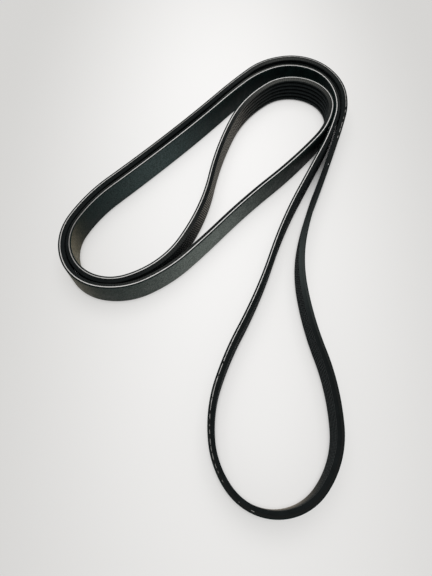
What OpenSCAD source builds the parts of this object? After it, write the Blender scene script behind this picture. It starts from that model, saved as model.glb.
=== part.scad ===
// Endless V-ribbed drive belt, standing on its cut edge the way it was put down on a table:
// a flat coil of two turns, and one free loop shaped like a drop.
// Millimetres, Z up. X runs across the coil and Y runs away from the loop.
// The belt is built in plies. Seen from the smooth back towards the ribs they are the back
// cover, the upper gum, the ply of tensile cord, the lower gum and the rib body.

/* [Belt] */
// Length of the cord line, once around the belt
belt_length = 2000; // [1900:10:2300]
// Number of ribs across the belt
rib_count = 6; // [4:1:8]
// Distance from one rib to the next
rib_pitch = 3.56; // [3.4:0.02:3.7]

/* [Ribs] */
// Height of a rib above its groove
rib_height = 2.1; // [1.7:0.05:2.3]
// Angle between the two flanks of a groove
rib_angle = 40; // [36:1:44]
// Flat width at the bottom of a groove
groove_root_width = 0.6; // [0.4:0.05:0.9]
// Rib rubber between the groove bottom and the lower gum
rib_base = 0.2; // [0.1:0.05:0.4]

/* [Plies] */
// Thickness of the rubbered fabric on the back
cover_thickness = 0.5; // [0.4:0.05:0.6]
// Gum between the back cover and the cord ply
upper_gum_thickness = 0.2; // [0.1:0.05:0.3]
// Diameter of the tensile cord, which is the thickness of its ply
cord_diameter = 1; // [0.8:0.05:1.1]
// Gum between the cord ply and the rib rubber
lower_gum_thickness = 0.2; // [0.1:0.05:0.4]

/* [Hidden] */
// Where the belt lies on the table: x, y and heading in degrees of the cord line.
// The ribs are on the left of the way along it, the smooth back is on the right.
stations = [
    [97.5, 83, 68],
    [111, 133, 90],
    [66, 179.5, 184],
    [4.5, 136.5, 228],
    [-81, 49.5, 223],
    [-107, -21, 295],
    [-49, -37, 26],
    [3, 7, 47],
    [82.5, 86, 49],
    [89, 145.5, 140],
    [14.5, 107, 246],
    [-26.5, -6, 238],
    [-99.5, -20, 121],
    [-78, 42, 43],
    [8, 128.5, 48],
    [52, 165, 23],
    [100, 144.5, 288],
    [84, 74.5, 241],
    [62.5, 35.5, 241],
    [12.5, -73, 241],
    [-7, -141.5, 275],
    [23, -180, 349],
    [70, -134.5, 87],
    [58.5, -43.5, 93],
    [75, 29.5, 66]
];

// The stretches between stations that make up each part of the lay.
coil_stretches = [0 : 16];
lead_in_stretches = [17 : 17];
loop_stretches = [18 : 23];
lead_out_stretches = [24 : 24];

// A bend is drawn in flat steps of at most this many degrees.
bend_angle = 10;

belt_width = rib_count * rib_pitch;
flank_run = rib_height * tan(rib_angle / 2);
// No flat step is longer than this, and strands closer than this along the belt are one strand.
longest_step = 3 * belt_width;

// Distances from the cord line: the back is positive, the ribs are negative.
cord_top = cord_diameter / 2;
cover_inside = cord_top + upper_gum_thickness;
back_face = cover_inside + cover_thickness;
cord_bottom = -cord_diameter / 2;
rib_top = cord_bottom - lower_gum_thickness;
groove_bottom = rib_top - rib_base;
crest = groove_bottom - rib_height;

function along_heading(h) = [cos(h), sin(h)];
function plain_angle(a) = a - 360 * floor((a + 180) / 360);
function plan(s) = [s.x, s.y];
function total(list) = list * [for (v = list) 1];

// Two arcs join neighbouring stations; this is the point where they meet, in line.
function meeting_point(p, hp, q, hq) =
    let(
        v = q - p,
        tp = along_heading(hp),
        tq = along_heading(hq),
        bend = 1 - tp * tq,
        reach = v * (tp + tq),
        d = bend < 0.000001
            ? (v * v) / (2 * reach)
            : (sqrt(reach * reach + 2 * bend * (v * v)) - reach) / (2 * bend)
    )
    (p + q + d * (tp - tq)) / 2;

// An arc: its start, its heading there, the angle it turns through and its radius, left positive.
function arc_between(p, h, q) =
    let(
        chord = q - p,
        half_turn = plain_angle(atan2(chord.y, chord.x) - h)
    )
    [p, h, 2 * half_turn, norm(chord) / (2 * sin(half_turn))];

function two_arcs(a, b) =
    let(
        m = meeting_point(plan(a), a.z, plan(b), b.z),
        first = arc_between(plan(a), a.z, m)
    )
    [first, arc_between(m, first[1] + first[2], plan(b))];

function arc_length(a) = a[3] * a[2] * PI / 180;
function arc_steps(a) = ceil(max(abs(a[2]) / bend_angle, arc_length(a) / longest_step));

// A place on the belt: the point on the cord line, the way to the back, and how far along it is.
function place_on(a, share) =
    let(
        outward = along_heading(a[1] - 90 + share * a[2]),
        centre = a[0] + a[3] * [-sin(a[1]), cos(a[1])]
    )
    [centre + a[3] * outward, outward];
function beside(place, distance) = place[0] + distance * place[1];

laid_arcs = [for (k = [0 : len(stations) - 1])
    each two_arcs(stations[k], stations[(k + 1) % len(stations)])];
lay_scale = belt_length / total([for (a = laid_arcs) arc_length(a)]);
full_arcs = [for (a = laid_arcs) [a[0] * lay_scale, a[1], a[2], a[3] * lay_scale]];

// The places along some stretches of the lay, from the first station to the last.
function places(stretches) =
    let(
        run = [for (k = stretches) each [full_arcs[2 * k], full_arcs[2 * k + 1]]]
    )
    concat(
        [for (a = run) for (i = [0 : arc_steps(a) - 1]) place_on(a, i / arc_steps(a))],
        [place_on(run[len(run) - 1], 1)]
    );

// The plan box of the smooth back, which is outermost all round, is centred on the origin.
whole_lay = places([0 : len(stations) - 1]);
back_x = [for (p = whole_lay) beside(p, back_face).x];
back_y = [for (p = whole_lay) beside(p, back_face).y];
lay_shift = -[min(back_x) + max(back_x), min(back_y) + max(back_y)] / 2;

// The least gap between two strands, measured on the points of both faces.
function face_points(distance) =
    [for (p = whole_lay) beside(p, distance)];
function way_along(points) =
    [for (i = 0, s = 0; i < len(points); s = s + norm(points[(i + 1) % len(points)] - points[i]), i = i + 1) s];
function apart(s, t) = min(abs(s - t), belt_length - abs(s - t));
function to_line(p, a, b) =
    let(
        ab = b - a,
        share = max(0, min(1, ((p - a) * ab) / (ab * ab)))
    )
    norm(p - a - share * ab);
function face_gap(points, others) =
    let(
        along = way_along(face_points(0))
    )
    min([for (i = [0 : len(points) - 1]) for (j = [0 : len(others) - 2])
        if (apart(along[i], along[j]) > longest_step)
            to_line(points[i], others[j], others[j + 1])]);
function least_gap() =
    let(
        back = face_points(back_face),
        ribs = face_points(crest)
    )
    min(face_gap(back, back), face_gap(ribs, ribs), face_gap(back, ribs), face_gap(ribs, back));

cover_colour = [0.2, 0.22, 0.21];
gum_colour = [0.12, 0.12, 0.13];
cord_colour = [0.9, 0.89, 0.85];
rib_colour = [0.16, 0.16, 0.17];

// A flat ply carried along the lay, between two distances from the cord line.
module ply(stretches, inside, outside) {
    run = places(stretches);
    last = len(run) - 1;
    translate(lay_shift)
        linear_extrude(height = belt_width)
            polygon(concat(
                [for (p = run) beside(p, outside)],
                [for (i = [last : -1 : 0]) beside(run[i], inside)]
            ));
}

// One rib across the belt: its foot, its two crest corners and its other foot.
function rib_outline(z) =
    [
        [groove_bottom, z + groove_root_width / 2],
        [crest, z + groove_root_width / 2 + flank_run],
        [crest, z + rib_pitch - groove_root_width / 2 - flank_run],
        [groove_bottom, z + rib_pitch - groove_root_width / 2]
    ];

rib_section = concat(
    [[rib_top, belt_width], [rib_top, 0], [groove_bottom, 0]],
    [for (i = [0 : rib_count - 1]) each rib_outline(i * rib_pitch)],
    [[groove_bottom, belt_width]]
);

// The end of the ribbed rubber, in triangles: a fan over the base and two for each rib.
groove_line = concat([2], [for (i = [0 : rib_count - 1]) each [3 + 4 * i, 6 + 4 * i]], [3 + 4 * rib_count]);
rib_end = concat(
    [for (j = [0 : len(groove_line) - 2]) [1, groove_line[j], groove_line[j + 1]]],
    [[1, 3 + 4 * rib_count, 0]],
    [for (i = [0 : rib_count - 1]) each [
        [3 + 4 * i, 4 + 4 * i, 5 + 4 * i],
        [3 + 4 * i, 5 + 4 * i, 6 + 4 * i]
    ]]
);

// The ribbed rubber carried along the lay as one closed skin of triangles.
module ribbed(stretches) {
    run = places(stretches);
    count = len(rib_section);
    last = len(run) - 1;
    skin = [for (p = run) for (q = rib_section) concat(beside(p, q.x) + lay_shift, q.y)];
    sides = [for (k = [0 : last - 1]) for (i = [0 : count - 1])
        let(
            a = k * count + i,
            b = k * count + (i + 1) % count
        )
        each [[a, a + count, b + count], [a, b + count, b]]];
    first_end = rib_end;
    last_end = [for (t = rib_end) [for (i = [2 : -1 : 0]) last * count + t[i]]];
    polyhedron(points = skin, faces = concat(sides, first_end, last_end));
}

module back_cover_coil() {
    color(cover_colour) ply(coil_stretches, cover_inside, back_face);
}

module back_cover_lead_in() {
    color(cover_colour) ply(lead_in_stretches, cover_inside, back_face);
}

module back_cover_loop() {
    color(cover_colour) ply(loop_stretches, cover_inside, back_face);
}

module back_cover_lead_out() {
    color(cover_colour) ply(lead_out_stretches, cover_inside, back_face);
}

module upper_gum_coil() {
    color(gum_colour) ply(coil_stretches, cord_top, cover_inside);
}

module upper_gum_lead_in() {
    color(gum_colour) ply(lead_in_stretches, cord_top, cover_inside);
}

module upper_gum_loop() {
    color(gum_colour) ply(loop_stretches, cord_top, cover_inside);
}

module upper_gum_lead_out() {
    color(gum_colour) ply(lead_out_stretches, cord_top, cover_inside);
}

module tensile_cord_coil() {
    color(cord_colour) ply(coil_stretches, cord_bottom, cord_top);
}

module tensile_cord_lead_in() {
    color(cord_colour) ply(lead_in_stretches, cord_bottom, cord_top);
}

module tensile_cord_loop() {
    color(cord_colour) ply(loop_stretches, cord_bottom, cord_top);
}

module tensile_cord_lead_out() {
    color(cord_colour) ply(lead_out_stretches, cord_bottom, cord_top);
}

module lower_gum_coil() {
    color(gum_colour) ply(coil_stretches, rib_top, cord_bottom);
}

module lower_gum_lead_in() {
    color(gum_colour) ply(lead_in_stretches, rib_top, cord_bottom);
}

module lower_gum_loop() {
    color(gum_colour) ply(loop_stretches, rib_top, cord_bottom);
}

module lower_gum_lead_out() {
    color(gum_colour) ply(lead_out_stretches, rib_top, cord_bottom);
}

module rib_body_coil() {
    color(rib_colour) ribbed(coil_stretches);
}

module rib_body_lead_in() {
    color(rib_colour) ribbed(lead_in_stretches);
}

module rib_body_loop() {
    color(rib_colour) ribbed(loop_stretches);
}

module rib_body_lead_out() {
    color(rib_colour) ribbed(lead_out_stretches);
}

echo(least_gap_between_strands = least_gap());

back_cover_coil();
back_cover_lead_in();
back_cover_loop();
back_cover_lead_out();
upper_gum_coil();
upper_gum_lead_in();
upper_gum_loop();
upper_gum_lead_out();
tensile_cord_coil();
tensile_cord_lead_in();
tensile_cord_loop();
tensile_cord_lead_out();
lower_gum_coil();
lower_gum_lead_in();
lower_gum_loop();
lower_gum_lead_out();
rib_body_coil();
rib_body_lead_in();
rib_body_loop();
rib_body_lead_out();
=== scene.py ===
"""A ribbed drive belt standing on its cut edge, laid in a double coil with one free loop.

Every ply is swept along one lay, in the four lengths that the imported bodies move. Sizes are in millimetres.
"""

import math

import bpy
import numpy as np
from mathutils import Matrix, Vector


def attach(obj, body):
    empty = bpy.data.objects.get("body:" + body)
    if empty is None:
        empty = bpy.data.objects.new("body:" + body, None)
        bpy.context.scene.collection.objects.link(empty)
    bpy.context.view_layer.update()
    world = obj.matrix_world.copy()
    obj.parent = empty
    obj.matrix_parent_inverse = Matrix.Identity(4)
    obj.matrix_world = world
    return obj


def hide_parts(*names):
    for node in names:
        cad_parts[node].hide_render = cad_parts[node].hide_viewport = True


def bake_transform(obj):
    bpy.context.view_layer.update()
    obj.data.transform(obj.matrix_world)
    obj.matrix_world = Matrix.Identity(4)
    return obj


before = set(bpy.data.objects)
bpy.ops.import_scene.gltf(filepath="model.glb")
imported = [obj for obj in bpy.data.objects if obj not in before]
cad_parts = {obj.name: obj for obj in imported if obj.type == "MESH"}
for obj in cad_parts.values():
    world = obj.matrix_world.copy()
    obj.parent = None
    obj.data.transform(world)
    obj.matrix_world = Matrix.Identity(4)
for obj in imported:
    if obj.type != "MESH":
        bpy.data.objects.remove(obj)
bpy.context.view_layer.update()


# Back cover: a calendered sheet of black synthetic rubber, the first ply laid on the building drum.
# Its outer face stays smooth, so that flat idler pulleys can run on it, and its edges are cut with the belt.

MM = 0.001
BELT_LENGTH = 2000.0
BELT_WIDTH = 21.36
COVER_INSIDE, COVER_OUTSIDE = 0.7, 1.2
COVER_EDGE_RADIUS, COVER_EDGE_POINTS = 0.08, 4
PLY_STEP = 2.0
SHARP_ANGLE = math.radians(35)

# Places on the cord line and the heading in degrees there, going round the belt with the ribs on the left.
STATIONS = np.array([
    (97.5, 83, 68), (111, 133, 90), (66, 179.5, 184), (4.5, 136.5, 228), (-81, 49.5, 223),
    (-107, -21, 295), (-49, -37, 26), (3, 7, 47), (82.5, 86, 49), (89, 145.5, 140),
    (14.5, 107, 246), (-26.5, -6, 238), (-99.5, -20, 121), (-78, 42, 43), (8, 128.5, 48),
    (52, 165, 23), (100, 144.5, 288), (84, 74.5, 241), (62.5, 35.5, 241), (12.5, -73, 241),
    (-7, -141.5, 275), (23, -180, 349), (70, -134.5, 87), (58.5, -43.5, 93), (75, 29.5, 66),
])
# The stretches between stations that each length of belt takes, first and one past the last.
LENGTHS = {"coil": (0, 17), "lead_in": (17, 18), "loop": (18, 24), "lead_out": (24, 25)}

# Two headings count as parallel where 1 - cos of the angle between them is below this.
PARALLEL = 1e-6


def unit(angle):
    """The direction of an angle in radians: (cos, sin)."""
    return np.stack([np.cos(angle), np.sin(angle)], -1)


def lay_arcs(stations):
    """Starts, headings, curvatures and lengths of the two arcs that join each station to the next.

    With chord v, end directions t0 and t1, r = v.(t0 + t1) and b = 1 - t0.t1, both arcs have the tangent
    length d = (sqrt(r r + 2 b v.v) - r) / (2 b), or v.v / (2 r) where the directions are parallel, and they
    meet at (p + q + d (t0 - t1)) / 2.
    """
    p, p_heading = stations[:, :2], np.radians(stations[:, 2])
    q, q_heading = np.roll(p, -1, 0), np.roll(p_heading, -1)
    t0, t1 = unit(p_heading), unit(q_heading)
    v = q - p
    r, vv = (v * (t0 + t1)).sum(1), (v * v).sum(1)
    b = 1 - (t0 * t1).sum(1)
    turning = np.maximum(b, PARALLEL)
    bent = (np.sqrt(r * r + 2 * turning * vv) - r) / (2 * turning)
    tangent = np.where(b < PARALLEL, vv / (2 * r), bent)
    meeting = (p + q + tangent[:, None] * (t0 - t1)) / 2
    start = np.stack([p, meeting], 1).reshape(-1, 2)
    chord = np.stack([meeting - p, q - meeting], 1).reshape(-1, 2)
    direction = np.arctan2(chord[:, 1], chord[:, 0])
    half_first = (direction[0::2] - p_heading + np.pi) % (2 * np.pi) - np.pi
    heading = np.stack([p_heading, p_heading + 2 * half_first], 1).ravel()
    half = (direction - heading + np.pi) % (2 * np.pi) - np.pi
    length = np.linalg.norm(chord, axis=1) / np.sinc(half / np.pi)
    return start, heading, 2 * half / length, length


# The lay is scaled until the cord line has the belt's length.
arc_start, arc_heading, arc_curvature, arc_length = lay_arcs(STATIONS)
to_length = BELT_LENGTH / arc_length.sum()
arc_start = arc_start * to_length
arc_curvature = arc_curvature / to_length
arc_length = arc_length * to_length
arc_end = np.cumsum(arc_length)
station_at = np.concatenate([[0.0], arc_end[1::2]])


def on_lay(along):
    """Cord line points and outward normals: start + u sinc(k u / 2) in the direction heading + k u / 2."""
    arc = np.minimum(np.searchsorted(arc_end, along), len(arc_end) - 1)
    u = along - (arc_end - arc_length)[arc]
    half = arc_curvature[arc] * u / 2
    point = arc_start[arc] + (u * np.sinc(half / np.pi))[:, None] * unit(arc_heading[arc] + half)
    return point, unit(arc_heading[arc] + 2 * half - np.pi / 2)


# The middle of the whole lay, out to the belt's back, goes to the origin.
LAY_POINTS = 8001
whole_point, whole_normal = on_lay(np.linspace(0, BELT_LENGTH, LAY_POINTS))
whole_back = whole_point + COVER_OUTSIDE * whole_normal
arc_start = arc_start - (whole_back.min(0) + whole_back.max(0)) / 2


def swept(along, section):
    """A closed section of (offset, height) carried along the lay: place = point + offset * outward normal.

    The section runs counter-clockwise and may change from ring to ring. Gives places, side faces, end faces,
    and for each place its distance along the belt, its distance round the section, and its offset.
    """
    point, normal = on_lay(along)
    section = np.broadcast_to(section, (len(along), *section.shape[-2:]))
    rings, corners = section.shape[:2]
    flat = point[:, None] + section[..., :1] * normal[:, None]
    place = np.concatenate([flat, section[..., 1:]], -1).reshape(-1, 3)
    ring, corner = np.mgrid[0:rings - 1, 0:corners]
    here, beside = ring * corners + corner, ring * corners + (corner + 1) % corners
    quads = np.stack([here, here + corners, beside + corners, beside], -1).reshape(-1, 4)
    last_ring = (rings - 1) * corners
    ends = np.stack([np.arange(corners), last_ring + np.arange(corners)[::-1]])
    sides = np.linalg.norm(np.diff(section, axis=1, prepend=section[:, :1]), axis=-1)
    around = np.cumsum(sides, 1).ravel()
    return place, quads, ends, np.repeat(along, corners), around, section[..., 0].ravel()


def belt_piece(name, sweeps, material, marks=()):
    """One smooth-shaded mesh object from several sweeps, with their distances and offsets kept as attributes.

    Each mark is an attribute too, made of soft patches along the belt: the sum, over its rows of place, reach
    and strength, of strength * exp(-(away / reach)^2), where away is the shorter way round from the place.
    """
    places, faces, first = [], [], 0
    for place, quads, ends, *_ in sweeps:
        faces += (quads + first).tolist() + (ends + first).tolist()
        first += len(place)
        places.append(place)
    measures = zip(*(sweep[3:] for sweep in sweeps))
    along, around, offset = (np.concatenate(measure) for measure in measures)
    values = {"along_mm": along, "around_mm": around, "offset_mm": offset}
    for mark, rows in marks:
        at, reach, strength = np.array(rows).T
        away = (along[:, None] - at + BELT_LENGTH / 2) % BELT_LENGTH - BELT_LENGTH / 2
        values[mark] = (strength * np.exp(-(away / reach) ** 2)).sum(1)
    mesh = bpy.data.meshes.new(name)
    mesh.from_pydata((np.concatenate(places) * MM).tolist(), [], faces)
    for attribute, numbers in values.items():
        kept = mesh.attributes.new(attribute, "FLOAT", "POINT")
        kept.data.foreach_set("value", numbers.astype(np.float32))
    mesh.shade_smooth()
    mesh.set_sharp_from_angle(angle=SHARP_ANGLE)
    mesh.materials.append(material)
    piece = bpy.data.objects.new(name, mesh)
    bpy.context.scene.collection.objects.link(piece)
    return piece


def rings_of(length, step):
    """Distances along the belt from one end of a length to the other, at about that step."""
    first, last = (station_at[station] for station in LENGTHS[length])
    return np.linspace(first, last, math.ceil((last - first) / step) + 1)


def hold(piece, length):
    """The coil and the loop ride on their bodies. A lead strand, from its coil end to its loop end, has its
    place baked into its mesh.
    """
    if length in ("coil", "loop"):
        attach(piece, length)
    else:
        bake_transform(piece)


def linear(colour):
    """An sRGB hex colour as linear red, green, blue and alpha: ((c + 0.055) / 1.055)^2.4, or c / 12.92."""
    srgb = np.array([int(colour[i:i + 2], 16) for i in (1, 3, 5)]) / 255
    return (*np.where(srgb <= 0.04045, srgb / 12.92, ((srgb + 0.055) / 1.055) ** 2.4), 1.0)


def add(tree, kind, inputs, **settings):
    """Adds one node with its settings and links, and gives its outputs.

    An input's value is a number, a colour or another node's output.
    """
    node = tree.nodes.new(kind)
    for setting, value in settings.items():
        setattr(node, setting, value)
    for socket, value in inputs.items():
        if isinstance(value, bpy.types.NodeSocket):
            tree.links.new(value, node.inputs[socket])
        else:
            node.inputs[socket].default_value = value
    return node.outputs


def empty_material(name):
    """A material and its node tree, with nothing in it yet."""
    material = bpy.data.materials.new(name)
    material.use_nodes = True
    material.node_tree.nodes.clear()
    return material, material.node_tree


# A colour Mix node's sockets: its share, its two colours, and what comes out.
SHARE, FIRST, SECOND, MIXED = 0, 6, 7, 2

# Calendered rubber has a satin blue-black face with a fine grain and a faint mottle. It has a grey-green wax
# bloom in one place, a thin wax haze in others and brown dust in a few more, and each is painted paler than
# it is, as a painted sheen where the walls catch the light. The upper cut edge has none of these. The grain
# is really about 0.3 mm across, and is drawn at 1 mm so that it shows in the picture.
COVER_GRAIN, COVER_MOTTLE = 1.0, 6.0
COVER_RELIEF = 0.1
COVER_FACE_TOP = BELT_WIDTH - COVER_EDGE_RADIUS / 2
COVER_MARKS = (
    # grey-green bloom, painted pale as a sheen where the bottom strand's wall catches the light
    ("bloom_and_sheen", ((528.0, 60.0, 0.85),)),
    # thin teal-grey haze, painted pale as a sheen where the walls catch the light
    ("haze_and_sheen", (
        (250.0, 110.0, 0.12), (1143.0, 55.0, 0.29), (1480.0, 90.0, 0.1), (1640.0, 110.0, 0.12),
        (1810.0, 110.0, 0.12),
    )),
    # brown dust, painted paler as a sheen where the walls catch the light
    ("dust_and_sheen", ((115.0, 55.0, 0.4), (416.0, 18.0, 0.4), (1035.0, 18.0, 0.8))),
)
cover_rubber, tree = empty_material("satin_cover_rubber")
place = add(tree, "ShaderNodeTexCoord", {})["Object"]
mottle = add(tree, "ShaderNodeTexNoise", {"Vector": place, "Scale": 1 / (COVER_MOTTLE * MM), "Detail": 5.0})
cloud = add(tree, "ShaderNodeMapRange", {"Value": mottle["Fac"], "From Min": 0.35, "From Max": 0.65})
grain = add(tree, "ShaderNodeTexNoise", {"Vector": place, "Scale": 1 / (COVER_GRAIN * MM), "Detail": 2.0})
speckle = add(tree, "ShaderNodeMapRange", {
    "Value": grain["Fac"], "From Min": 0.35, "From Max": 0.65, "To Min": 0.55, "To Max": 1.45,
})
height = add(tree, "ShaderNodeSeparateXYZ", {0: place})["Z"]
uncut = add(tree, "ShaderNodeMath", {0: height, 1: COVER_FACE_TOP * MM}, operation="LESS_THAN")
film = add(tree, "ShaderNodeMath", {0: speckle[0], 1: uncut[0]}, operation="MULTIPLY")
tone = add(tree, "ShaderNodeMix", {
    SHARE: cloud[0], FIRST: linear("#060c0c"), SECOND: linear("#0f1c1b"),
}, data_type="RGBA")
# each patch lays its colour over the rubber as a painted sheen
for mark, colour in (("bloom_and_sheen", "#858d87"), ("haze_and_sheen", "#788b8a"), ("dust_and_sheen", "#817964")):
    marked = add(tree, "ShaderNodeAttribute", {}, attribute_name=mark)["Fac"]
    speckled = add(tree, "ShaderNodeMath", {0: marked, 1: film[0]}, operation="MULTIPLY")
    tone = add(tree, "ShaderNodeMix", {
        SHARE: speckled[0], FIRST: tone[MIXED], SECOND: linear(colour),
    }, data_type="RGBA")
rough = add(tree, "ShaderNodeMapRange", {"Value": cloud[0], "To Min": 0.46, "To Max": 0.62})
relief = add(tree, "ShaderNodeBump", {
    "Height": grain["Fac"], "Strength": 0.5, "Distance": COVER_RELIEF * MM,
})
shader = add(tree, "ShaderNodeBsdfPrincipled", {
    "Base Color": tone[MIXED], "Roughness": rough[0], "Normal": relief[0],
    "Specular IOR Level": 0.05, "Specular Tint": linear("#c0fffb"),
})
add(tree, "ShaderNodeOutputMaterial", {"Surface": shader[0]})

# The two outer edges are quarter circles: radius * (1 - sin, 1 - cos) in from the corner.
edge_turn = np.radians(np.linspace(0, 90, COVER_EDGE_POINTS))
edge_round = COVER_EDGE_RADIUS * (1 - np.stack([np.sin(edge_turn), np.cos(edge_turn)], 1))
lower_edge = np.stack([COVER_OUTSIDE - edge_round[:, 0], edge_round[:, 1]], 1)
upper_edge = np.stack([lower_edge[:, 0], BELT_WIDTH - lower_edge[:, 1]], 1)[::-1]
cover_section = np.concatenate([
    [(COVER_INSIDE, 0.0)], lower_edge, upper_edge, [(COVER_INSIDE, BELT_WIDTH)],
])
for length in LENGTHS:
    sheet = swept(rings_of(length, PLY_STEP), cover_section)
    piece = belt_piece(f"smooth_back_{length}", [sheet], cover_rubber, COVER_MARKS)
    hold(piece, length)
    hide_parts(f"back_cover_{length}")


# Adhesion gum: soft sticky rubber on both sides of the cords, vulcanised to them and to the plies next to it.
# Only its cut edges show, as dull dark lines beside the cords.

UPPER_GUM, LOWER_GUM = (0.5, 0.7), (-0.7, -0.5)


def strip(inside, outside):
    """A plain ply's section, a rectangle from one offset to the other over the width of the belt."""
    return np.array([(inside, 0.0), (outside, 0.0), (outside, BELT_WIDTH), (inside, BELT_WIDTH)])


# Knife-cut rubber is dull and nearly black, with fine drag lines along the cut and, in one place, a wax haze
# painted pale as a sheen where it catches the light.
DRAG_LENGTH, DRAG_SPACING = 8.0, 0.25
# the haze is painted pale as a sheen where the cut edge catches the light
CUT_MARKS = (("haze_and_sheen", ((1880.0, 45.0, 0.13),)),)
cut_rubber, tree = empty_material("knife_cut_gum")
run = add(tree, "ShaderNodeAttribute", {}, attribute_name="along_mm")["Fac"]
turn = add(tree, "ShaderNodeAttribute", {}, attribute_name="around_mm")["Fac"]
haze_and_sheen = add(tree, "ShaderNodeAttribute", {}, attribute_name="haze_and_sheen")["Fac"]
per_drag = add(tree, "ShaderNodeMath", {0: run, 1: DRAG_LENGTH}, operation="DIVIDE")
per_line = add(tree, "ShaderNodeMath", {0: turn, 1: DRAG_SPACING}, operation="DIVIDE")
spot = add(tree, "ShaderNodeCombineXYZ", {"X": per_drag[0], "Y": per_line[0]})
drag = add(tree, "ShaderNodeTexNoise", {"Vector": spot[0], "Scale": 1.0, "Detail": 3.0})
tone = add(tree, "ShaderNodeMix", {
    SHARE: drag["Fac"], FIRST: linear("#050606"), SECOND: linear("#121413"),
}, data_type="RGBA")
tone = add(tree, "ShaderNodeMix", {
    SHARE: haze_and_sheen, FIRST: tone[MIXED], SECOND: linear("#76817f"),
}, data_type="RGBA")
rough = add(tree, "ShaderNodeMapRange", {"Value": drag["Fac"], "To Min": 0.5, "To Max": 0.7})
shader = add(tree, "ShaderNodeBsdfPrincipled", {
    "Base Color": tone[MIXED], "Roughness": rough[0], "Specular IOR Level": 0.09,
})
add(tree, "ShaderNodeOutputMaterial", {"Surface": shader[0]})

for length in LENGTHS:
    for ply, faces in (("upper_gum", UPPER_GUM), ("lower_gum", LOWER_GUM)):
        edge = swept(rings_of(length, PLY_STEP), strip(*faces))
        piece = belt_piece(f"cut_{ply}_{length}", [edge], cut_rubber, CUT_MARKS)
        hold(piece, length)
        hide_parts(f"{ply}_{length}")


# Tensile cords: pale polyester cords of three twisted strands, wound round the drum in one long helix.
# The knife runs straight and the helix doesn't, so the outermost cord is cut into for most of the way round,
# dives under the edge in a row of dashes at one end, and thins out to nothing at the other.

CORD_PLY = (-0.5, 0.5)
CORD_OFFSET = -0.16
CORD_RADIUS, CORD_SQUARENESS = 0.29, 3.0
CORD_PITCH = 0.7
CORD_STRANDS, CORD_TWIST = 3, 13.5
CORD_WANDER, LONG_WANDER, SHORT_WANDER = 0.008, 37.0, 7.3
CORD_STEP, CORD_POINTS = 0.8, 16
STRAND_RELIEF = 0.01
CUT_PROUD, CUT_LIMIT = 0.02, 0.99
THINNEST_LEFT = 0.003
TOP_BARED_AT, BOTTOM_BARED_AT = 832.0, 1832.0

# Cord ply as it lies between the cords: gum pressed round them.
for length in LENGTHS:
    edge = swept(rings_of(length, PLY_STEP), strip(*CORD_PLY))
    piece = belt_piece(f"cord_ply_{length}", [edge], cut_rubber, CUT_MARKS)
    hold(piece, length)
    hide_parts(f"tensile_cord_{length}")

# Cut polyester is matt and off-white, flecked by its strands, with grey rubber smeared over it by the knife.
FLECK_LENGTH, FLECK_WIDTH = 2.2, 0.5
CORD_MARKS = (
    ("smear", (
        (25.0, 45.0, 0.75), (130.0, 60.0, 0.45), (255.0, 65.0, 0.8), (390.0, 50.0, 0.35),
        (700.0, 30.0, 0.3), (880.0, 40.0, 0.25), (1050.0, 55.0, 0.75), (1670.0, 65.0, 0.8),
    )),
)
bare_cord, tree = empty_material("cut_polyester_cord")
run = add(tree, "ShaderNodeAttribute", {}, attribute_name="along_mm")["Fac"]
turn = add(tree, "ShaderNodeAttribute", {}, attribute_name="around_mm")["Fac"]
smear = add(tree, "ShaderNodeAttribute", {}, attribute_name="smear")["Fac"]
per_fleck = add(tree, "ShaderNodeMath", {0: run, 1: FLECK_LENGTH}, operation="DIVIDE")
per_width = add(tree, "ShaderNodeMath", {0: turn, 1: FLECK_WIDTH}, operation="DIVIDE")
spot = add(tree, "ShaderNodeCombineXYZ", {"X": per_fleck[0], "Y": per_width[0]})
fleck = add(tree, "ShaderNodeTexNoise", {"Vector": spot[0], "Scale": 1.0, "Detail": 3.0})
spread = add(tree, "ShaderNodeMapRange", {"Value": fleck["Fac"], "From Min": 0.3, "From Max": 0.6})
tone = add(tree, "ShaderNodeMix", {
    SHARE: spread[0], FIRST: linear("#b4b3b0"), SECOND: linear("#f4f3f0"),
}, data_type="RGBA")
tone = add(tree, "ShaderNodeMix", {
    SHARE: smear, FIRST: tone[MIXED], SECOND: linear("#46443f"),
}, data_type="RGBA")
rough = add(tree, "ShaderNodeMapRange", {"Value": fleck["Fac"], "To Min": 0.65, "To Max": 0.85})
shader = add(tree, "ShaderNodeBsdfPrincipled", {
    "Base Color": tone[MIXED], "Roughness": rough[0], "Sheen Weight": 0.2,
})
add(tree, "ShaderNodeOutputMaterial", {"Surface": shader[0]})


def cord_depth(along, bared_at):
    """How deep the cord's axis lies in the cut: pitch * share of a turn past the bared place, and a wander.

    The wander is the sum of a long and a short sine along the belt.
    """
    share = ((along - bared_at) / BELT_LENGTH + 0.5) % 1 - 0.5
    wander = np.sin(2 * np.pi * along / LONG_WANDER) + np.sin(2 * np.pi * along / SHORT_WANDER)
    return CORD_PITCH * share + CORD_WANDER * wander


def bared_runs(along, bared_at):
    """The unbroken runs of distances at which some of the cord reaches the cut, and some of it is left."""
    depth = cord_depth(along, bared_at)
    shown = np.flatnonzero((depth > THINNEST_LEFT - CORD_RADIUS) & (depth < CORD_RADIUS + STRAND_RELIEF))
    runs = np.split(shown, np.flatnonzero(np.diff(shown) > 1) + 1)
    return [along[run] for run in runs if len(run) > 1]


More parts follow.
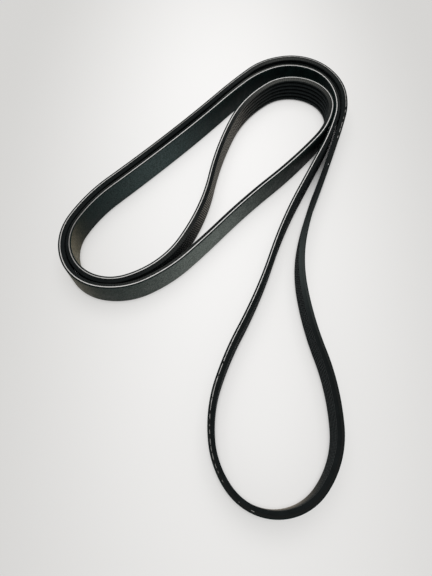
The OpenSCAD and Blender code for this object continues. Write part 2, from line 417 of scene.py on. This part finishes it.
def cut_cord(along, bared_at, at_top):
    """What the knife leaves of a cord pressed a little square: its section below the cut, and the cut face.

    The section is |offset|^n + |height|^n = radius^n about the axis, with n the squareness, so its points are
    radius * (cos, sin)^(2 / n). The strands come up to the cut in turn, so the radius is
    R + relief cos(2 pi strands along / twist).
    """
    depth = cord_depth(along, bared_at)[:, None]
    strand_turn = 2 * np.pi * CORD_STRANDS * along[:, None] / CORD_TWIST
    radius = CORD_RADIUS + STRAND_RELIEF * np.cos(strand_turn)
    cut_at = np.clip((depth + CUT_PROUD) / radius, -CUT_LIMIT, CUT_LIMIT)
    above = np.arcsin(np.sign(cut_at) * np.abs(cut_at) ** (CORD_SQUARENESS / 2))
    angle = np.pi - above + (np.pi + 2 * above) * np.linspace(0, 1, CORD_POINTS)
    across, up = np.cos(angle), np.sin(angle)
    offset = radius * np.sign(across) * np.abs(across) ** (2 / CORD_SQUARENESS) + CORD_OFFSET
    height = radius * np.sign(up) * np.abs(up) ** (2 / CORD_SQUARENESS) - depth
    if at_top:
        return np.stack([offset, BELT_WIDTH + height], -1)
    return np.stack([offset, -height], -1)[:, ::-1]


for length in LENGTHS:
    rings = rings_of(length, CORD_STEP)
    cords = [
        swept(run, cut_cord(run, bared_at, at_top))
        for bared_at, at_top in ((TOP_BARED_AT, True), (BOTTOM_BARED_AT, False))
        for run in bared_runs(rings, bared_at)
    ]
    piece = belt_piece(f"bared_cord_{length}", cords, bare_cord, CORD_MARKS)
    hold(piece, length)


# Rib body: rubber full of short fibres that lie across the belt, moulded on and then ground to six V ribs.
# The two outer ribs end in the cut edge at the bottom of a groove.

RIB_COUNT, RIB_PITCH, RIB_HEIGHT = 6, 3.56, 2.1
RIB_TOP, GROOVE_BOTTOM = -0.7, -0.9
GROOVE_ROOT, HALF_RIB_ANGLE = 0.6, math.radians(20)
RIB_EASE = 0.22


def eased(corners, reach):
    """Each inner corner of a line becomes three points of the parabola that rounds it.

    They are reach before the corner, corner + reach (back + on) / 4, and reach after it.
    """
    before, corner, after = corners[:-2], corners[1:-1], corners[2:]
    back = (before - corner) / np.linalg.norm(before - corner, axis=1, keepdims=True)
    on = (after - corner) / np.linalg.norm(after - corner, axis=1, keepdims=True)
    three = np.stack([corner + reach * back, corner + reach * (back + on) / 4, corner + reach * on], 1)
    return np.concatenate([corners[:1], three.reshape(-1, 2), corners[-1:]])


rib_foot = GROOVE_ROOT / 2
rib_crest = rib_foot + RIB_HEIGHT * math.tan(HALF_RIB_ANGLE)
crest_offset = GROOVE_BOTTOM - RIB_HEIGHT
one_rib = np.array([
    (GROOVE_BOTTOM, rib_foot), (crest_offset, rib_crest),
    (crest_offset, RIB_PITCH - rib_crest), (GROOVE_BOTTOM, RIB_PITCH - rib_foot),
])
rib_rise = np.arange(RIB_COUNT)[:, None, None] * [0.0, RIB_PITCH]
ribs = (one_rib[None] + rib_rise).reshape(-1, 2)
rib_line = eased(np.concatenate([[(GROOVE_BOTTOM, 0.0)], ribs, [(GROOVE_BOTTOM, BELT_WIDTH)]]), RIB_EASE)
rib_section = np.concatenate([[(RIB_TOP, 0.0), (RIB_TOP, BELT_WIDTH)], rib_line[::-1]])

# Ground rubber is matt black, with a fine hatch of grinding marks and fibre ends across the ribs, crisper in
# one place, and painted shade keeps the grooves darker than the crests. Brown dust on the crests in two
# patches is painted paler as a sheen, and low down at the end of the loop a brown painted reflection of the
# table lies on the ribs. The top flank has painted highlights, and a wax haze painted pale as a sheen in one
# place. The marks are really about 0.2 mm apart, and are drawn 1.8 mm apart so that they show in the picture.
HATCH_SPACING, HATCH_REACH, HATCH_DRIFT = 1.8, 6.0, 6.0
HATCH_RELIEF = 0.1
# offsets between which the painted shade of a groove gives way to a crest
CREST_FROM, CREST_FULL = -1.6, -2.7
TOP_FLANK, TOP_GROUND = 20.2, 0.37
# height below which the painted reflection of the table lies on the ribs
TABLE_REFLECTION_BELOW = 18.0
RIB_MARKS = (
    # brown dust on the crests, painted paler as a sheen where they catch the light
    ("dust_and_sheen", ((832.0, 32.0, 1.0), (888.0, 30.0, 1.0))),
    # painted highlights where the top flank catches the light
    ("flank_highlight", (
        (130.0, 40.0, 0.18), (480.0, 35.0, 0.12), (750.0, 50.0, 0.35), (940.0, 25.0, 0.1),
        (1110.0, 35.0, 0.06), (1285.0, 45.0, 0.45),
    )),
    # wax haze on the top flank, painted pale as a sheen
    ("haze_and_sheen", ((1885.0, 32.0, 0.17),)),
    # a painted reflection of the bright table on the low ribs at the end of the loop
    ("table_reflection", ((1711.0, 18.0, 1.3),)),
    ("crisp", ((1848.0, 50.0, 0.85),)),
)
# A number Mix node's two numbers. Its share and what comes out are both socket 0.
FIRST_NUMBER, SECOND_NUMBER = 2, 3
rib_rubber, tree = empty_material("ground_rib_rubber")
place = add(tree, "ShaderNodeTexCoord", {})["Object"]
height = add(tree, "ShaderNodeSeparateXYZ", {0: place})["Z"]
run = add(tree, "ShaderNodeAttribute", {}, attribute_name="along_mm")["Fac"]
turn = add(tree, "ShaderNodeAttribute", {}, attribute_name="around_mm")["Fac"]
offset = add(tree, "ShaderNodeAttribute", {}, attribute_name="offset_mm")["Fac"]
dust_and_sheen = add(tree, "ShaderNodeAttribute", {}, attribute_name="dust_and_sheen")["Fac"]
flank_highlight = add(tree, "ShaderNodeAttribute", {}, attribute_name="flank_highlight")["Fac"]
crisp = add(tree, "ShaderNodeAttribute", {}, attribute_name="crisp")["Fac"]

# The hatch is a sine along the belt whose phase drifts over the surface.
spot = add(tree, "ShaderNodeCombineXYZ", {"X": run, "Y": turn})
drift = add(tree, "ShaderNodeTexNoise", {"Vector": spot[0], "Scale": 1 / HATCH_REACH, "Detail": 3.0})
lines = add(tree, "ShaderNodeMath", {0: run, 1: 2 * math.pi / HATCH_SPACING}, operation="MULTIPLY")
phase = add(tree, "ShaderNodeMath", {
    0: drift["Fac"], 1: HATCH_DRIFT, 2: lines[0],
}, operation="MULTIPLY_ADD")
wave = add(tree, "ShaderNodeMath", {0: phase[0]}, operation="SINE")
hatch = add(tree, "ShaderNodeMapRange", {"Value": wave[0], "From Min": -1.0, "From Max": 1.0})

# Where a place is on the rib: the top flank, a crest with painted shade towards the grooves, or low down near
# the table.
on_top = add(tree, "ShaderNodeMath", {0: height, 1: TOP_FLANK * MM}, operation="GREATER_THAN")
crest_and_groove_shade = add(tree, "ShaderNodeMapRange", {
    "Value": offset, "From Min": CREST_FROM, "From Max": CREST_FULL, "To Min": 0.1, "To Max": 1.0,
})
low_down = add(tree, "ShaderNodeMapRange", {
    "Value": height, "From Min": TABLE_REFLECTION_BELOW * MM, "From Max": 0.0,
})

# The ground face: pale lines in the hatch on the crests, painted shade in the grooves, plain on the top
# flank.
deepest = add(tree, "ShaderNodeMapRange", {"Value": crisp, "To Min": 0.6, "To Max": 0.0})
palest = add(tree, "ShaderNodeMapRange", {"Value": crisp, "To Min": 1.2, "To Max": 2.4})
worn = add(tree, "ShaderNodeMapRange", {
    "Value": hatch[0], "From Min": 0.2, "To Min": deepest[0], "To Max": palest[0],
})
ridged = add(tree, "ShaderNodeMath", {0: worn[0], 1: crest_and_groove_shade[0]}, operation="MULTIPLY")
faced = add(tree, "ShaderNodeMix", {0: on_top[0], FIRST_NUMBER: ridged[0], SECOND_NUMBER: TOP_GROUND})
ground = add(tree, "ShaderNodeMath", {0: drift["Fac"], 1: faced[0]}, operation="MULTIPLY")
tone = add(tree, "ShaderNodeMix", {
    SHARE: ground[0], FIRST: linear("#030404"), SECOND: linear("#303637"),
}, data_type="RGBA")

# Dust in the hatch of the crests, painted paler as a sheen, and painted highlights on the top flank.
in_hatch = add(tree, "ShaderNodeMapRange", {
    "Value": hatch[0], "From Min": 0.3, "To Min": 0.1, "To Max": 1.8,
})
crested = add(tree, "ShaderNodeMath", {0: in_hatch[0], 1: crest_and_groove_shade[0]}, operation="MULTIPLY")
crest_dust_and_sheen = add(tree, "ShaderNodeMath", {0: dust_and_sheen, 1: crested[0]}, operation="MULTIPLY")
lit_flank_lines = add(tree, "ShaderNodeMath", {0: flank_highlight, 1: worn[0]}, operation="MULTIPLY")
# dust with painted sheen on the crests, painted highlights on the top flank
dust_sheen_and_highlight = add(tree, "ShaderNodeMix", {0: on_top[0], FIRST_NUMBER: crest_dust_and_sheen[0], SECOND_NUMBER: lit_flank_lines[0]})
pale = add(tree, "ShaderNodeMix", {
    SHARE: on_top[0], FIRST: linear("#948f86"), SECOND: linear("#83837e"),
}, data_type="RGBA")
tone = add(tree, "ShaderNodeMix", {
    SHARE: dust_sheen_and_highlight[0], FIRST: tone[MIXED], SECOND: pale[MIXED],
}, data_type="RGBA")

# Wax haze painted pale as a sheen on the top flank, and a painted reflection of the table low down on the
# ribs.
for mark, where, colour in (("haze_and_sheen", on_top, "#76817f"), ("table_reflection", low_down, "#8f877b")):
    marked = add(tree, "ShaderNodeAttribute", {}, attribute_name=mark)["Fac"]
    there = add(tree, "ShaderNodeMath", {0: marked, 1: where[0]}, operation="MULTIPLY")
    tone = add(tree, "ShaderNodeMix", {
        SHARE: there[0], FIRST: tone[MIXED], SECOND: linear(colour),
    }, data_type="RGBA")
rough = add(tree, "ShaderNodeMapRange", {"Value": drift["Fac"], "To Min": 0.55, "To Max": 0.75})
relief = add(tree, "ShaderNodeBump", {
    "Height": hatch[0], "Strength": 0.4, "Distance": HATCH_RELIEF * MM,
})
shader = add(tree, "ShaderNodeBsdfPrincipled", {
    "Base Color": tone[MIXED], "Roughness": rough[0], "Normal": relief[0],
    "Specular IOR Level": 0.07, "Specular Tint": linear("#eff8f8"),
})
add(tree, "ShaderNodeOutputMaterial", {"Surface": shader[0]})

for length in LENGTHS:
    ribbed = swept(rings_of(length, PLY_STEP), rib_section)
    piece = belt_piece(f"ribs_{length}", [ribbed], rib_rubber, RIB_MARKS)
    hold(piece, length)
    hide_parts(f"rib_body_{length}")


# Table: a plain pale sheet that lies a hair below the belt's cut edge, a little greyer to both sides, where a
# fall-off of the light is painted on it. Part of its tone doesn't depend on the lamp, so that the belt's
# shadow on it stays light, except where two walls of the belt stand close.

TABLE_HALF = 3000 * MM
TABLE_BELOW = 0.05 * MM
TABLE_SHARE = 0.65
OPEN_REACH = 8 * MM
SLIT_OPEN, PLAIN_OPEN = 0.3, 0.65
POOL_REACH = 215 * MM
POOL_SHIFT, POOL_SHAPE = (-10 * MM, -24 * MM, 0.0), (1.0, 0.35, 0.0)
TABLE_PALE, TABLE_FAR = "#fdfcfb", "#d8d7d5"
table_paint, tree = empty_material("pale_table")
place = add(tree, "ShaderNodeTexCoord", {})["Object"]
# painted fall-off of the light: pale in a wide pool, greyer to both sides
pool = add(tree, "ShaderNodeMapping", {"Vector": place, "Location": POOL_SHIFT, "Scale": POOL_SHAPE})
from_middle = add(tree, "ShaderNodeVectorMath", {0: pool[0]}, operation="LENGTH")["Value"]
outward = add(tree, "ShaderNodeMapRange", {
    "Value": from_middle, "From Min": 0.0, "From Max": POOL_REACH,
}, interpolation_type="SMOOTHSTEP")
tone = add(tree, "ShaderNodeMix", {
    SHARE: outward[0], FIRST: linear(TABLE_PALE), SECOND: linear(TABLE_FAR),
}, data_type="RGBA")
shader = add(tree, "ShaderNodeBsdfPrincipled", {
    "Base Color": tone[MIXED], "Roughness": 0.8, "Specular IOR Level": 0.2,
})
path = add(tree, "ShaderNodeLightPath", {})
seen = add(tree, "ShaderNodeMath", {0: path["Is Camera Ray"], 1: path["Is Glossy Ray"]}, operation="MAXIMUM")
shown = add(tree, "ShaderNodeMath", {0: seen[0], 1: path["Is Transmission Ray"]}, operation="MAXIMUM")
open_sky = add(tree, "ShaderNodeAmbientOcclusion", {"Distance": OPEN_REACH})["AO"]
level = add(tree, "ShaderNodeMapRange", {
    "Value": open_sky, "From Min": SLIT_OPEN, "From Max": PLAIN_OPEN, "To Max": TABLE_SHARE,
})
share = add(tree, "ShaderNodeMath", {0: shown[0], 1: level[0]}, operation="MULTIPLY")
even = add(tree, "ShaderNodeEmission", {"Color": tone[MIXED], "Strength": 1.0})
both = add(tree, "ShaderNodeMixShader", {"Fac": share[0], 1: shader[0], 2: even[0]})
add(tree, "ShaderNodeOutputMaterial", {"Surface": both[0]})

table_corners = np.array([(-1, -1), (1, -1), (1, 1), (-1, 1)]) * TABLE_HALF
table_places = np.insert(table_corners, 2, -TABLE_BELOW, axis=1)
table_mesh = bpy.data.meshes.new("table")
table_mesh.from_pydata(table_places.tolist(), [], [(0, 1, 2, 3)])
table_mesh.materials.append(table_paint)
table = bpy.data.objects.new("table", table_mesh)
bpy.context.scene.collection.objects.link(table)


# Light: one large soft lamp above and a little behind the belt, in an evenly pale room.
# The lamp gives the belt its soft shadow, and the room lights what the lamp doesn't reach.

LAMP_PLACE, LAMP_SIDE = Vector((0.0, 350.0, 1300.0)) * MM, 1200 * MM
LAMP_WATTS = 13.0
lamp_data = bpy.data.lights.new("soft_lamp", "AREA")
lamp_data.shape = "SQUARE"
lamp_data.size = LAMP_SIDE
lamp_data.energy = LAMP_WATTS
lamp = bpy.data.objects.new("soft_lamp", lamp_data)
towards_belt = (-LAMP_PLACE).to_track_quat("-Z", "Y").to_matrix().to_4x4()
lamp.matrix_world = Matrix.Translation(LAMP_PLACE) @ towards_belt
bpy.context.scene.collection.objects.link(lamp)

# The room is as pale as the far table where it is seen or mirrored, and greyer where it only lights.
world = bpy.data.worlds.new("pale_room")
world.use_nodes = True
tree = world.node_tree
tree.nodes.clear()
path = add(tree, "ShaderNodeLightPath", {})
seen = add(tree, "ShaderNodeMath", {0: path["Is Camera Ray"], 1: path["Is Glossy Ray"]}, operation="MAXIMUM")
shown = add(tree, "ShaderNodeMath", {0: seen[0], 1: path["Is Transmission Ray"]}, operation="MAXIMUM")
wall = add(tree, "ShaderNodeMix", {
    SHARE: shown[0], FIRST: linear("#a2a2a2"), SECOND: linear(TABLE_FAR),
}, data_type="RGBA")
room = add(tree, "ShaderNodeBackground", {"Color": wall[MIXED], "Strength": 1.0})
add(tree, "ShaderNodeOutputWorld", {"Surface": room[0]})
bpy.context.scene.world = world


# Camera: held over the free loop and tilted towards the coil, as the photograph was taken.
# Its place, tilt and focal length are those that fit the edges of the belt.

CAMERA_PLACE = (-1.48, -164.42, 282.2)
CAMERA_TILT, CAMERA_ROLL = 24.76, -1.38
FOCAL_PIXELS, PICTURE_HEIGHT = 430, 576
SENSOR_SIDE = 36.0
NEAREST_SEEN = 10 * MM
camera_data = bpy.data.cameras.new("camera")
camera_data.sensor_width = SENSOR_SIDE
camera_data.lens = SENSOR_SIDE * FOCAL_PIXELS / PICTURE_HEIGHT
camera_data.clip_start = NEAREST_SEEN
camera = bpy.data.objects.new("camera", camera_data)
camera.matrix_world = (
    Matrix.Translation([MM * x for x in CAMERA_PLACE])
    @ Matrix.Rotation(math.radians(CAMERA_TILT), 4, "X")
    @ Matrix.Rotation(math.radians(CAMERA_ROLL), 4, "Z")
)
bpy.context.scene.collection.objects.link(camera)
bpy.context.scene.camera = camera
bpy.context.scene.view_settings.view_transform = "Standard"
